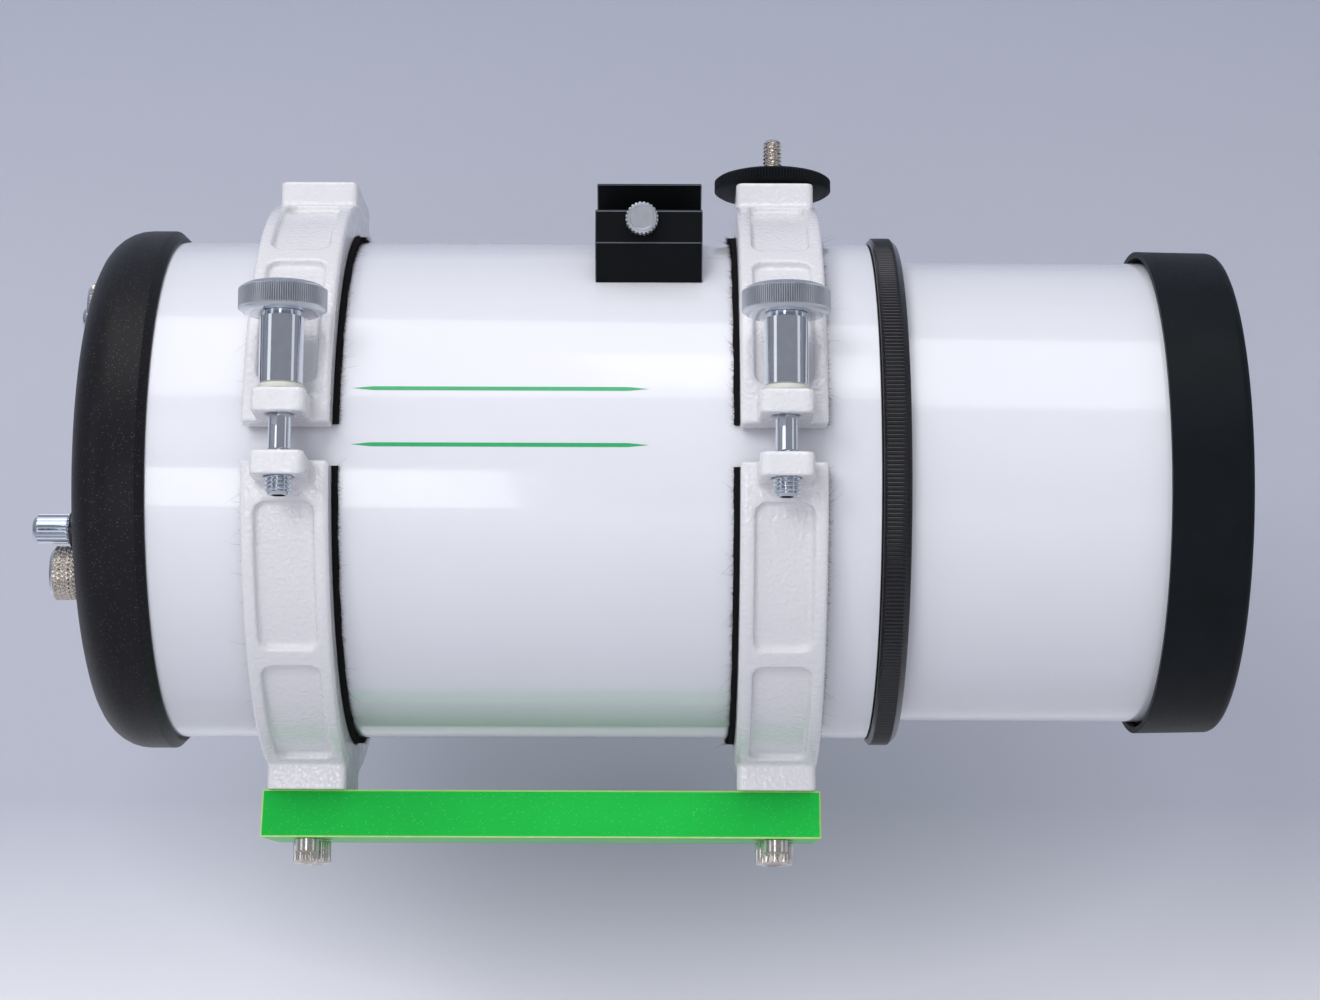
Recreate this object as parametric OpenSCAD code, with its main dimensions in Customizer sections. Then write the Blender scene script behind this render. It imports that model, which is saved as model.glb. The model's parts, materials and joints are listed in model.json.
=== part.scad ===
// Short astrograph tube in two hinged rings on a dovetail bar.
// Millimetres. X runs along the tube towards the sky, Z is up.
// The origin is the middle of the dovetail bar's bottom face.

/* [Tube] */
// Outer diameter of the main tube
tube_od = 160; // [150:1:200]
// Wall of the main tube
tube_wall = 1.5; // [1:0.1:3]
// Length of the main tube, including the part inside the rear cell
tube_len = 234; // [225:1:320]
// Distance from the middle between the rings to the tube's front end
tube_front = 103; // [100:1:140]

/* [Rings] */
// Distance between the middles of the two rings
ring_spacing = 147.2; // [120:0.1:165]
// Width of each ring along the tube
ring_w = 26; // [20:1:32]
// Thickness of the ring wall
ring_wall = 10; // [7:0.5:14]
// Thickness of the felt between ring and tube
felt_t = 1.9; // [1:0.1:3]
// Gap between the ring halves at the clamp
clamp_gap = 11.2; // [6:0.1:14]
// Width of the flat blocks at the top and the bottom of a ring
block_w = 40; // [40:1:50]
// Depth of the pockets in the rings
pocket_depth = 2.3; // [1:0.1:4]

/* [Dovetail bar] */
// Length of the bar
bar_len = 175; // [172:1:260]
// Width of the bar at its bottom
bar_w = 44; // [38:1:60]
// Height of the bar
bar_h = 15; // [12:1:20]
// Angle of the bar's sides from upright
bar_slant = 15; // [5:1:20]

/* [Clamp] */
// Diameter of the clamp screw's thread
clamp_screw_d = 8; // [6:1:10]
// Diameter of the knob's head
knob_d = 26; // [20:1:32]
// Height of the knob's head
knob_head_h = 8.3; // [6:0.1:12]
// Length of the knob's barrel under the head
knob_barrel_l = 21.3; // [12:0.1:30]

/* [Front] */
// Outer diameter of the dew shield
dew_od = 148.3; // [140:0.1:149]
// Length of the dew shield in front of the knurled ring
dew_len = 93; // [70:1:160]
// Length of the knurled ring
knurled_len = 8.6; // [6:0.1:14]
// Depth of the dust cap
cap_depth = 25; // [20:0.5:40]

/* [Rear cell] */
// Length of the rear cell
cell_len = 23.5; // [20:0.5:40]
// How far the rear cell stands out from the tube all round
cell_lip = 3.6; // [2.5:0.1:6]
// Radius on which the knobs and the lock screws stand
knob_circle_r = 59; // [50:1:62]

/* [Optics] */
// Diameter of the primary mirror
mirror_d = 148; // [138:1:148]
// Diameter of the corrector lens
corrector_d = 138; // [132:1:140]
// Diameter of the field corrector's barrel
barrel_d = 60; // [50:1:70]
// Diameter of the thread for a camera
camera_thread_d = 48; // [42:1:48]

/* [Hidden] */

$fn = 128;
fine = 240;                             // segments of the largest curves
running = 0.08;                         // radial clearance of a running fit
apart = 0.3;                            // gap between pieces that only lie side by side
edge_r = 1.2;                           // rounding of the rings' edges
lens_gap = 0.2;                         // gap between a lens and its seat
joint_gap = 0.03;                       // gap between faces that are fixed to each other
through = 1;                            // how far a cut runs past the face it opens

tube_r = tube_od / 2;
tube_ri = tube_r - tube_wall;
tube_back = tube_front - tube_len;
felt_ri = tube_r + running;
ring_ri = felt_ri + felt_t;
ring_ro = ring_ri + ring_wall;
block_top = ring_ro + 6;                // flat of the blocks, from the tube's axis
axis_z = bar_h + block_top;             // height of the tube's axis
rear_x = -ring_spacing / 2;
front_x = ring_spacing / 2;

bar_top_w = bar_w - 2 * bar_h * tan(bar_slant);
screw_head_h = 7.6;                     // what stands out under the bar
bolt_head_d = 12;
bolt_d = 8;
locating_d = 7.6;
locating_thread_d = 5;
locating_y = 13;
fastener_depth = 9;                     // how far the bar's fasteners go into a ring
fastener_slack = 0.2;                   // radial gap of a fastener in the bar
bolt_key_d = 7;                         // across the corners of a bolt's hexagon
locating_key_d = 4.6;
key_depth = 3;

hinge_y = ring_ro + 5;                  // hinge axis, behind the ring
hinge_pin_d = 5;
knuckle_d = 11;
knuckle_w = ring_w / 3;
knuckle_root = 3;                       // how far a knuckle's web goes into the ring
pin_past = 0.5;                         // how far the hinge pin stands out at each end
half_gap = 0.6;                         // gap between the halves at the hinge
block_inset = 1.2;                      // the blocks are this much narrower than the ring
block_root = 5;                         // how far a block goes into the ring
block_corner = 2;
felt_past = 1.5;                        // how far the felt stands out beside the ring

lug_w = 16;
lug_corner = 2.5;
lug_t = 7.2;
lug_out = 17.5;                         // how far a lug reaches from the ring's outside
screw_out = 10;                         // from the ring's outside to the clamp screw's axis
screw_y = -(ring_ro + screw_out);
screw_clear_r = clamp_screw_d / 2 + 0.2;
screw_swing = 1.2;                      // room for the screw to swing out of the lower lug
washer_t = 1.6;
washer_d = 13.6;
shank_d = clamp_screw_d - 1.4;          // plain shank above the thread
shank_over = 1;                         // how far the thread runs into the lugs' gap
screw_in_knob = 0.8 * knob_barrel_l;
barrel_od = 13;
barrel_edge = 0.4;
knob_neck = 1.2;
knob_neck_in = 1;                       // how far the neck is set in from the barrel
knob_edge = 0.8;
knob_z = clamp_gap / 2 + lug_t + washer_t;      // seat of the knob's barrel
screw_tip = 18;                         // end of the clamp screw below the tube's axis

pocket_w = ring_w - 8.4;
pocket_corner = 3.5;
pocket_reach = 8;                       // how far the pocket's cutter reaches in and out
pockets = [[25.8, 29], [59.7, 30.5]];   // middle and spread of each pocket, in degrees

disc_d = 38.2;
disc_h = 5.2;
disc_edge = 0.5;
disc_hub_d = 14;
disc_hub_h = 0.8;
stud_d = 6.35;
stud_neck_d = 6;                        // relief inside the disc
stud_top = 13.2;                        // how far the stud stands out of the disc
stud_in = 11;                           // how far the stud goes into the ring

cell_r = tube_r + cell_lip;
cell_over = 14.5;                       // how far the cell reaches over the tube
cell_front = tube_back + cell_over;
cell_back = cell_front - cell_len;
cell_round = 13.5;                      // rounding of the cell's rear edge
cell_floor = 7;                         // thickness of the cell's rear wall
cell_edge = 2.4;                        // bevel of the cell's front edge
cell_bore_in = 3;                       // the cell's bore is this much smaller than the tube's
knob_angles = [-35, 85, 205];           // around the axis, from the front towards the top
lock_offset = 13.9;                     // from a knob to its lock screw, in degrees
lock_angles = [for (a = knob_angles) a + lock_offset];
knob_collar_d = 16.6;
knob_end = 9;                           // how far the knobs stand out behind the cell
lock_end = 14;
lock_d = 9;
lock_collar_d = 11.2;
lock_collar_h = 2.3;
knob_shank_r = 3;
lock_shank_r = 2.5;
cell_screw_angles = [100, 180, 260];
cell_screw_d = 3;
cell_screw_x = 6;                       // from the cell's front edge

mirror_t = 14;
mirror_sag = 4;                         // depth of the mirror's hollow face
mirror_bevel = 2;
mirror_seat = cell_back + cell_floor + 12;      // rear face of the mirror
mirror_plate_t = 5;
mirror_plate_bore_r = 30;
shank_in_plate = 1;                     // what is left of the plate in front of a knob's shank
clip_angles = [25, 145, 265];
clip_w = 10;
clip_t = 2.5;                           // how far a clip reaches over the mirror, and its thickness
clip_gap = 0.3;

baffle_places = [-40, 0, 40];
baffle_depth = 11;
baffle_t = 2;

front_cell_r = tube_ri - running;
front_cell_l = 22;
dew_wall = 1.6;
spigot_r = dew_od / 2 - dew_wall - running;     // the part on which the dew shield turns
spigot_l = 14;
spigot_wall = 3.2;
lens_lip = 3;                           // how far the cell reaches in front of the lens
knurled_r = tube_r + 2;
knurled_edge = 0.8;
knurled_front_edge = 1.4;
flange_t = 0.3;                         // what shows of the front cell beside the knurled ring
knurled_x = tube_front + flange_t + 0.1;
dew_x0 = knurled_x + 0.5;               // rear end of the dew shield's tube
dew_x1 = knurled_x + knurled_len + dew_len;
lens_t = 8;
lens_x = tube_front - 12;               // rear face of the corrector lens
retainer_l = 5;
retainer_in = 2.5;
barrel_wall = 4;
barrel_back = 18;                       // how far the barrel reaches behind the corrector
barrel_fore = 14;                       // how far it reaches in front
barrel_flange = 5;
barrel_flange_t = 4;
field_lenses = [[-2, 6], [-15, 5]];     // rear face from the corrector's, and thickness, of each lens
adapter_l = 9;
adapter_wall = 3;                       // how far the adapter stands out of the barrel

cap_wall = 2;
liner_t = 1.7;
cap_ri = dew_od / 2 + running + liner_t;
cap_ro = cap_ri + cap_wall;
cap_face_t = 2.6;
cap_past = 9.9;                         // how far the cap reaches past the dew shield
cap_x1 = dew_x1 + cap_past;             // front face of the cap
cap_x0 = cap_x1 - cap_depth;
cap_round = 3;
cap_edge = 0.4;
liner_x0 = 3;                           // from the cap's open edge
liner_x1 = 1;                           // from the dew shield's front end

shoe_len = 33;
shoe_behind = 10.9;                     // from the front ring back to the shoe
shoe_x0 = front_x - ring_w / 2 - shoe_behind - shoe_len;
shoe_saddle = 4;                        // how deep the shoe's sides reach beside the tube's crown
shoe_angle = 58;                        // around the axis, from the front towards the top
shoe_w = 38;
shoe_wall_h = 10.6;
shoe_h = 19.4;
shoe_top_w = 28.6;
groove_top_w = 25.8;
groove_bottom_w = 32.4;
groove_floor = 7;
shoe_screw_x = 14.4;                    // from the shoe's rear end
shoe_screw_up = 1.8;                    // how far its clamp screw stands above the slope's middle
shoe_screw_d = 5;
shoe_head_d = 10;
shoe_head_l = 5.5;
shoe_head_edge = 1.2;
shoe_screw_in = 7;                      // how far the clamp screw goes in behind the slope
shoe_bolt_d = 4;
shoe_bolt_inset = 6.5;                  // from the shoe's ends
shoe_bolt_head_d = 7.2;
shoe_bolt_head_h = 3;
shoe_bolt_seat = 3.5;                   // height of the bolts' heads above the tube

// Places its children on the tube's axis, with their Z along the tube
module along_tube() translate([0, 0, axis_z]) rotate([0, 90, 0]) children();

// Turns its children, which point to the front, up around the tube's axis
module around(angle) translate([0, 0, axis_z]) rotate([-angle, 0, 0]) children();

// A body of revolution about the tube's axis, from [radius, x] points
module turned(points, segments = fine) along_tube() rotate_extrude($fn = segments) polygon(points);

// A ring of revolution about the tube's axis
module tube_ring(r_out, r_in, x0, x1) turned([[r_in, x0], [r_out, x0], [r_out, x1], [r_in, x1]]);

// A disc about the tube's axis
module tube_disc(r, x0, x1) turned([[0, x0], [r, x0], [r, x1], [0, x1]]);

// A rod that runs along the tube, in the frame of around()
module rod(r, radius, x0, x1) translate([x0, -radius, 0]) rotate([0, 90, 0]) cylinder(r = r, h = x1 - x0);

// A slab with round corners, standing on its back, X by Y and h high
module rounded_slab(x, y, h, r) {
    linear_extrude(h) {
        square([x - 2 * r, y], center = true);
        square([x, y - 2 * r], center = true);
        for (sx = [-1, 1], sy = [-1, 1]) translate([sx * (x / 2 - r), sy * (y / 2 - r)]) circle(r);
    }
}

// The band of a ring with rounded edges
module ring_band(x, r_in, r_out, r_edge) {
    steps = 4;
    arc = function(cx, cy, a0) [for (i = [0:steps])
        [cx + r_edge * cos(a0 + 90 * i / steps), cy + r_edge * sin(a0 + 90 * i / steps)]];
    turned(concat(
        [[r_in, x - ring_w / 2], [r_out - r_edge, x - ring_w / 2]],
        arc(r_out - r_edge, x - ring_w / 2 + r_edge, -90),
        arc(r_out - r_edge, x + ring_w / 2 - r_edge, 0),
        [[r_in, x + ring_w / 2]]));
}

// The space above (side 1) or below (side -1) the tube's axis
module half_space(side, front_cut, rear_cut) {
    reach = 4 * tube_r;
    translate([0, 0, axis_z]) for (part = [[-reach, 0, front_cut], [0, reach, rear_cut]])
        translate([-reach, part[0], side > 0 ? part[2] : -reach - part[2]])
            cube([2 * reach, part[1] - part[0], reach]);
}

// The pockets milled into one half of a ring, on both sides
module ring_pockets(x, side) {
    for (pocket = pockets, flank = [0, 1]) {
        angle = side * pocket[0];
        mirror([0, flank, 0]) around(angle) intersection() {
            translate([x, -ring_ro + pocket_reach, 0]) rotate([90, 0, 0])
                rounded_slab(pocket_w, 2 * ring_ro * sin(pocket[1] / 2), 2 * pocket_reach, pocket_corner);
            rotate([0, 90, 0]) difference() {
                cylinder(r = ring_ro + pocket_reach, h = 4 * ring_spacing, center = true, $fn = fine);
                cylinder(r = ring_ro - pocket_depth, h = 4 * ring_spacing, center = true, $fn = fine);
            }
        }
    }
}

// The flat block at the top (side 1) or the bottom (side -1) of a ring
module ring_block(x, side) {
    low = ring_ro - block_root;
    translate([x, 0, axis_z + (side > 0 ? low : -block_top)])
        rounded_slab(ring_w - block_inset, block_w, block_top - low, block_corner);
}

// The lug that the clamp screw goes through
module clamp_lug(x, side) {
    low = side > 0 ? clamp_gap / 2 : -clamp_gap / 2 - lug_t;
    root = ring_ro - ring_wall / 2;
    difference() {
        translate([x, -(root + ring_ro + lug_out) / 2, axis_z + low])
            rounded_slab(lug_w, ring_ro + lug_out - root, lug_t, lug_corner);
        if (side > 0) translate([x, screw_y, axis_z]) cylinder(r = screw_clear_r, h = 4 * lug_t);
        else {
            translate([x, screw_y, axis_z - 4 * lug_t]) cylinder(r = screw_clear_r, h = 4 * lug_t);
            translate([x, screw_y - screw_swing, axis_z - 4 * lug_t])
                cylinder(r = screw_clear_r, h = 4 * lug_t);
            translate([x - screw_clear_r, screw_y - screw_swing, axis_z - 4 * lug_t])
                cube([2 * screw_clear_r, screw_swing, 4 * lug_t]);
        }
    }
}

// One knuckle of the hinge with its web to the ring
module hinge_knuckle(x, width, side) {
    translate([x - width / 2, 0, axis_z]) {
        translate([0, hinge_y, 0]) rotate([0, 90, 0]) cylinder(d = knuckle_d, h = width);
        translate([0, ring_ro - knuckle_root, side > 0 ? half_gap / 2 : -knuckle_d / 2])
            cube([width, hinge_y - ring_ro + knuckle_root, (knuckle_d - half_gap) / 2]);
    }
}

// Where each half's knuckles stand: [offset, width]
function knuckles(side) = side > 0
    ? [[0, knuckle_w - 2 * apart]]
    : [[-knuckle_w, knuckle_w], [knuckle_w, knuckle_w]];

// Room in one half for the other half's knuckles
module knuckle_room(x, side) {
    for (other = knuckles(-side)) translate([x + other[0] - other[1] / 2 - apart, hinge_y, axis_z])
        rotate([0, 90, 0]) cylinder(d = knuckle_d + 2 * apart, h = other[1] + 2 * apart);
}

module ring_half(x, side) {
    difference() {
        union() {
            difference() {
                intersection() {
                    ring_band(x, ring_ri, ring_ro, edge_r);
                    half_space(side, clamp_gap / 2, half_gap / 2);
                }
                ring_pockets(x, side);
                knuckle_room(x, side);
            }
            ring_block(x, side);
            clamp_lug(x, side);
            for (k = knuckles(side)) difference() {
                hinge_knuckle(x + k[0], k[1], side);
                translate([x + k[0] - k[1], hinge_y, axis_z]) rotate([0, 90, 0])
                    cylinder(r = hinge_pin_d / 2 + (side > 0 ? running : 0), h = 2 * k[1]);
            }
        }
        tube_disc(ring_ri, x - ring_w, x + ring_w);
        if (side < 0) ring_foot_holes(x);
        else translate([x, 0, axis_z + block_top - stud_in - through]) cylinder(d = stud_d, h = 4 * stud_in);
    }
}

// Tapped holes in a ring's foot for the bar's fasteners
module ring_foot_holes(x) {
    translate([x, 0, bar_h - through]) {
        cylinder(r = bolt_d / 2 + joint_gap, h = fastener_depth + through);
        for (y = [-locating_y, locating_y]) translate([0, y, 0])
            cylinder(r = locating_thread_d / 2 + joint_gap, h = fastener_depth + through);
    }
}

module felt_half(x, side) {
    intersection() {
        tube_ring(ring_ri, felt_ri, x - ring_w / 2 - felt_past, x + ring_w / 2 + felt_past);
        half_space(side, clamp_gap / 2, half_gap / 2 + apart);
    }
}

module hinge_pin(x) {
    translate([x - ring_w / 2 - pin_past, hinge_y, axis_z]) rotate([0, 90, 0])
        cylinder(d = hinge_pin_d, h = ring_w + 2 * pin_past);
}

// Clamp parts stand on the axis of their screw, at the height of the tube's axis
module at_clamp(x) translate([x, screw_y, axis_z]) children();

module clamp_washer(x) at_clamp(x) translate([0, 0, knob_z - washer_t]) difference() {
    cylinder(d = washer_d, h = washer_t);
    translate([0, 0, -through]) cylinder(r = shank_d / 2 + running, h = washer_t + 2 * through);
}

module clamp_knob(x) at_clamp(x) translate([0, 0, knob_z]) difference() {
    rotate_extrude() polygon([
        [0, 0], [barrel_od / 2 - barrel_edge, 0], [barrel_od / 2, barrel_edge],
        [barrel_od / 2, knob_barrel_l - knob_neck],
        [barrel_od / 2 - knob_neck_in, knob_barrel_l - knob_neck],
        [barrel_od / 2 - knob_neck_in, knob_barrel_l],
        [knob_d / 2 - knob_edge, knob_barrel_l], [knob_d / 2, knob_barrel_l + knob_edge],
        [knob_d / 2, knob_barrel_l + knob_head_h - knob_edge],
        [knob_d / 2 - knob_edge, knob_barrel_l + knob_head_h], [0, knob_barrel_l + knob_head_h]]);
    translate([0, 0, -through]) cylinder(r = shank_d / 2 + joint_gap, h = screw_in_knob + through);
}

module clamp_screw(x) at_clamp(x) difference() {
    union() {
        translate([0, 0, -screw_tip]) cylinder(d = clamp_screw_d, h = screw_tip - clamp_gap / 2 + shank_over);
        translate([0, 0, -screw_tip]) cylinder(d = shank_d, h = screw_tip + knob_z + screw_in_knob);
    }
    translate([0, 0, -screw_tip - through]) cylinder(d = clamp_screw_d / 2, h = key_depth + through, $fn = 6);
}

module dovetail_bar() {
    color("yellowgreen") difference() {
        translate([-bar_len / 2, 0, 0]) rotate([90, 0, 90]) linear_extrude(bar_len) polygon([
            [-bar_w / 2, 0], [bar_w / 2, 0], [bar_top_w / 2, bar_h], [-bar_top_w / 2, bar_h]]);
        for (x = [rear_x, front_x]) translate([x, 0, -through]) {
            cylinder(r = bolt_d / 2 + fastener_slack, h = bar_h + 2 * through);
            for (y = [-locating_y, locating_y]) translate([0, y, 0])
                cylinder(r = locating_thread_d / 2 + fastener_slack, h = bar_h + 2 * through);
        }
    }
}

module bar_bolts() {
    color("dimgray") for (x = [rear_x, front_x]) translate([x, 0, -screw_head_h]) difference() {
        union() {
            cylinder(d = bolt_head_d, h = screw_head_h);
            cylinder(d = bolt_d, h = screw_head_h + bar_h + fastener_depth - through);
        }
        translate([0, 0, -through]) cylinder(d = bolt_key_d, h = key_depth + through, $fn = 6);
    }
}

module bar_locating_screws() {
    color("silver") for (x = [rear_x, front_x], y = [-locating_y, locating_y])
        translate([x, y, -screw_head_h]) difference() {
            union() {
                cylinder(d = locating_d, h = screw_head_h);
                cylinder(d = locating_thread_d, h = screw_head_h + bar_h + fastener_depth - through);
            }
            translate([0, 0, -through]) cylinder(d = locating_key_d, h = key_depth + through, $fn = 6);
        }
}

module rear_ring_lower() color("whitesmoke") ring_half(rear_x, -1);
module rear_ring_upper() color("whitesmoke") ring_half(rear_x, 1);
module front_ring_lower() color("whitesmoke") ring_half(front_x, -1);
module front_ring_upper() color("whitesmoke") ring_half(front_x, 1);
module rear_felt_lower() color("black") felt_half(rear_x, -1);
module rear_felt_upper() color("black") felt_half(rear_x, 1);
module front_felt_lower() color("black") felt_half(front_x, -1);
module front_felt_upper() color("black") felt_half(front_x, 1);
module rear_hinge_pin() color("silver") hinge_pin(rear_x);
module front_hinge_pin() color("silver") hinge_pin(front_x);
module rear_clamp_washer() color("ivory") clamp_washer(rear_x);
module front_clamp_washer() color("ivory") clamp_washer(front_x);
module rear_clamp_knob() color("gainsboro") clamp_knob(rear_x);
module front_clamp_knob() color("gainsboro") clamp_knob(front_x);
module rear_clamp_screw() color("silver") clamp_screw(rear_x);
module front_clamp_screw() color("silver") clamp_screw(front_x);

module accessory_stud() {
    disc_top = apart + disc_hub_h + disc_h;
    color("silver") translate([front_x, 0, axis_z + block_top]) {
        translate([0, 0, -stud_in]) cylinder(d = stud_d, h = stud_in);
        cylinder(d = stud_neck_d, h = disc_top + stud_top);
        translate([0, 0, disc_top + apart]) cylinder(d = stud_d, h = stud_top - apart);
    }
}

module accessory_lock_disc() {
    color("dimgray") translate([front_x, 0, axis_z + block_top + apart]) difference() {
        union() {
            cylinder(d = disc_hub_d, h = disc_hub_h + through);
            translate([0, 0, disc_hub_h]) rotate_extrude() polygon([
                [0, 0], [disc_d / 2 - disc_edge, 0], [disc_d / 2, disc_edge],
                [disc_d / 2, disc_h - disc_edge], [disc_d / 2 - disc_edge, disc_h], [0, disc_h]]);
        }
        translate([0, 0, -through]) cylinder(r = stud_neck_d / 2 + running, h = 3 * disc_h);
    }
}

module main_tube() {
    color("white") difference() {
        tube_ring(tube_r, tube_ri, tube_back, tube_front);
        around(shoe_angle) for (x = shoe_screw_places()) translate([x, 0, 0])
            rotate([90, 0, 0]) cylinder(r = shoe_bolt_d / 2 + joint_gap, h = 2 * tube_r);
    }
}

module baffle_rings() {
    lip_r = tube_ri - baffle_depth;
    color("black") for (x = baffle_places)
        turned([[lip_r, x], [lip_r + baffle_t / 2, x - baffle_t / 2], [tube_ri - running, x - baffle_t / 2],
            [tube_ri - running, x + baffle_t / 2], [lip_r + baffle_t / 2, x + baffle_t / 2]]);
}

// Where the two screws that hold the shoe stand, along the tube
function shoe_screw_places() = [shoe_x0 + shoe_bolt_inset, shoe_x0 + shoe_len - shoe_bolt_inset];

// The axis of the shoe's clamp screw: square to the slanted face on the front side
module at_shoe_clamp() {
    slope_y = -(tube_r + (shoe_wall_h + shoe_h) / 2);
    slope_z = -(shoe_w + shoe_top_w) / 4;
    slope = atan2((shoe_w - shoe_top_w) / 2, shoe_h - shoe_wall_h);
    around(shoe_angle) translate([shoe_x0 + shoe_screw_x, slope_y, slope_z])
        rotate([180 - slope, 0, 0]) translate([0, shoe_screw_up, 0]) children();
}

module finder_shoe() {
    color("dimgray") difference() {
        around(shoe_angle) translate([shoe_x0, 0, 0]) rotate([90, 0, 90]) linear_extrude(shoe_len) polygon([
            [-tube_r + shoe_saddle, -shoe_w / 2], [-tube_r - shoe_wall_h, -shoe_w / 2],
            [-tube_r - shoe_h, -shoe_top_w / 2], [-tube_r - shoe_h, -groove_top_w / 2],
            [-tube_r - groove_floor, -groove_bottom_w / 2], [-tube_r - groove_floor, groove_bottom_w / 2],
            [-tube_r - shoe_h, groove_top_w / 2], [-tube_r - shoe_h, shoe_top_w / 2],
            [-tube_r - shoe_wall_h, shoe_w / 2], [-tube_r + shoe_saddle, shoe_w / 2]]);
        tube_disc(tube_r + joint_gap, shoe_x0 - through, shoe_x0 + shoe_len + through);
        around(shoe_angle) for (x = shoe_screw_places()) translate([x, 0, 0]) rotate([90, 0, 0]) {
            cylinder(r = shoe_bolt_d / 2 + fastener_slack, h = 2 * tube_r);
            translate([0, 0, tube_r + shoe_bolt_seat])
                cylinder(r = shoe_bolt_head_d / 2 + apart, h = 2 * shoe_h);
        }
        at_shoe_clamp() translate([0, 0, -2 * shoe_screw_in])
            cylinder(r = shoe_screw_d / 2 + running, h = 4 * shoe_screw_in);
    }
}

module shoe_screws() {
    color("silver") around(shoe_angle) for (x = shoe_screw_places()) translate([x, 0, 0]) rotate([90, 0, 0]) {
        translate([0, 0, tube_ri - shoe_bolt_head_h])
            cylinder(d = shoe_bolt_d, h = tube_wall + shoe_bolt_seat + 2 * shoe_bolt_head_h - 1);
        translate([0, 0, tube_r + shoe_bolt_seat]) cylinder(d = shoe_bolt_head_d, h = shoe_bolt_head_h);
    }
}

module shoe_clamp_screw() {
    color("silver") at_shoe_clamp() {
        translate([0, 0, -shoe_screw_in]) cylinder(d = shoe_screw_d, h = shoe_screw_in + 2 * shoe_head_edge);
        translate([0, 0, shoe_head_edge]) rotate_extrude() polygon([
            [0, 0], [shoe_head_d / 2 - shoe_head_edge, 0], [shoe_head_d / 2, shoe_head_edge],
            [shoe_head_d / 2, shoe_head_l - shoe_head_edge / 2],
            [(shoe_head_d - shoe_head_edge) / 2, shoe_head_l], [0, shoe_head_l]]);
    }
}

module rear_cell() {
    steps = 8;
    floor_x = cell_back + cell_floor;
    bore_r = tube_ri - cell_bore_in;
    color("black") difference() {
        turned(concat(
            [[tube_r + joint_gap, cell_front], [cell_r - cell_edge, cell_front],
                [cell_r, cell_front - cell_edge]],
            [for (i = [0:steps]) [cell_r - cell_round + cell_round * cos(90 * i / steps),
                cell_back + cell_round - cell_round * sin(90 * i / steps)]],
            [[0, cell_back], [0, floor_x], [bore_r, floor_x], [bore_r, tube_back - joint_gap],
                [tube_r + joint_gap, tube_back - joint_gap]]));
        for (a = knob_angles) around(a)
            rod(knob_shank_r + running, knob_circle_r, cell_back - through, floor_x + through);
        for (a = lock_angles) around(a)
            rod(lock_shank_r + running, knob_circle_r, cell_back - through, floor_x + through);
        at_cell_screws() cylinder(r = cell_screw_d / 2 + running, h = 2 * cell_r);
    }
}

// The axes of the radial screws that hold the cell on the tube
module at_cell_screws() {
    for (a = cell_screw_angles) around(a) translate([cell_front - cell_screw_x, 0, 0])
        rotate([90, 0, 0]) children();
}

module cell_screws() {
    color("dimgray") at_cell_screws()
        translate([0, 0, tube_r + running]) cylinder(d = cell_screw_d, h = cell_lip - apart);
}

module mirror_cell() {
    plate_x = mirror_seat - mirror_plate_t;
    color("dimgray") difference() {
        intersection() {
            union() {
                tube_disc(mirror_d / 2 - clip_t, plate_x, mirror_seat);
                for (a = clip_angles) around(a) translate([plate_x, -tube_r, -clip_w / 2])
                    cube([mirror_plate_t, tube_r / 2, clip_w]);
            }
            tube_disc(tube_ri - 2 * clip_t, plate_x - through, mirror_seat + through);
        }
        tube_disc(mirror_plate_bore_r, plate_x - through, mirror_seat + through);
        for (a = knob_angles) around(a)
            rod(knob_shank_r + running, knob_circle_r, plate_x - through, mirror_seat + through);
    }
}

module primary_mirror() {
    steps = 10;
    face_r = mirror_d / 2 - mirror_bevel;
    color("lightsteelblue") turned(concat(
        [[0, mirror_seat], [mirror_d / 2, mirror_seat], [mirror_d / 2, mirror_seat + mirror_t]],
        [for (i = [0:steps]) let (r = face_r * (1 - i / steps))
            [r, mirror_seat + mirror_t - mirror_sag * (1 - pow(r / face_r, 2))]]));
}

// Clips from the mirror's cell to the tube's wall, hooked over the mirror's edge
module mirror_clips() {
    x0 = mirror_seat - mirror_plate_t;
    color("black") for (a = clip_angles) around(a) intersection() {
        difference() {
            translate([x0, -tube_r, -clip_w / 2])
                cube([mirror_plate_t + mirror_t + clip_t + clip_gap, tube_r - mirror_d / 2 + clip_t, clip_w]);
            rotate([0, 90, 0]) translate([0, 0, mirror_seat]) cylinder(r = mirror_d / 2 + clip_gap,
                h = mirror_t + clip_gap, $fn = fine);
            rotate([0, 90, 0]) translate([0, 0, x0 - through]) cylinder(r = tube_ri - 2 * clip_t,
                h = mirror_plate_t + 2 * through, $fn = fine);
        }
        rotate([0, 90, 0]) translate([0, 0, x0 - through]) cylinder(r = tube_ri - apart,
            h = 2 * mirror_t, $fn = fine);
    }
}

module collimation_knob(i) {
    color("wheat") around(knob_angles[i]) {
        rod(knob_collar_d / 2, knob_circle_r, cell_back - knob_end, cell_back - apart);
        rod(knob_shank_r, knob_circle_r, cell_back - apart - joint_gap, mirror_seat - shank_in_plate);
    }
}

module lock_screw(i) {
    collar_x = cell_back - apart - lock_collar_h;
    tip_x = mirror_seat - mirror_plate_t - apart / 2;
    color("silver") around(lock_angles[i]) {
        rod(lock_d / 2, knob_circle_r, cell_back - lock_end, collar_x);
        rod(lock_collar_d / 2, knob_circle_r, collar_x, cell_back - apart);
        rod(lock_shank_r, knob_circle_r, cell_back - apart - joint_gap, tip_x);
    }
}

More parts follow.
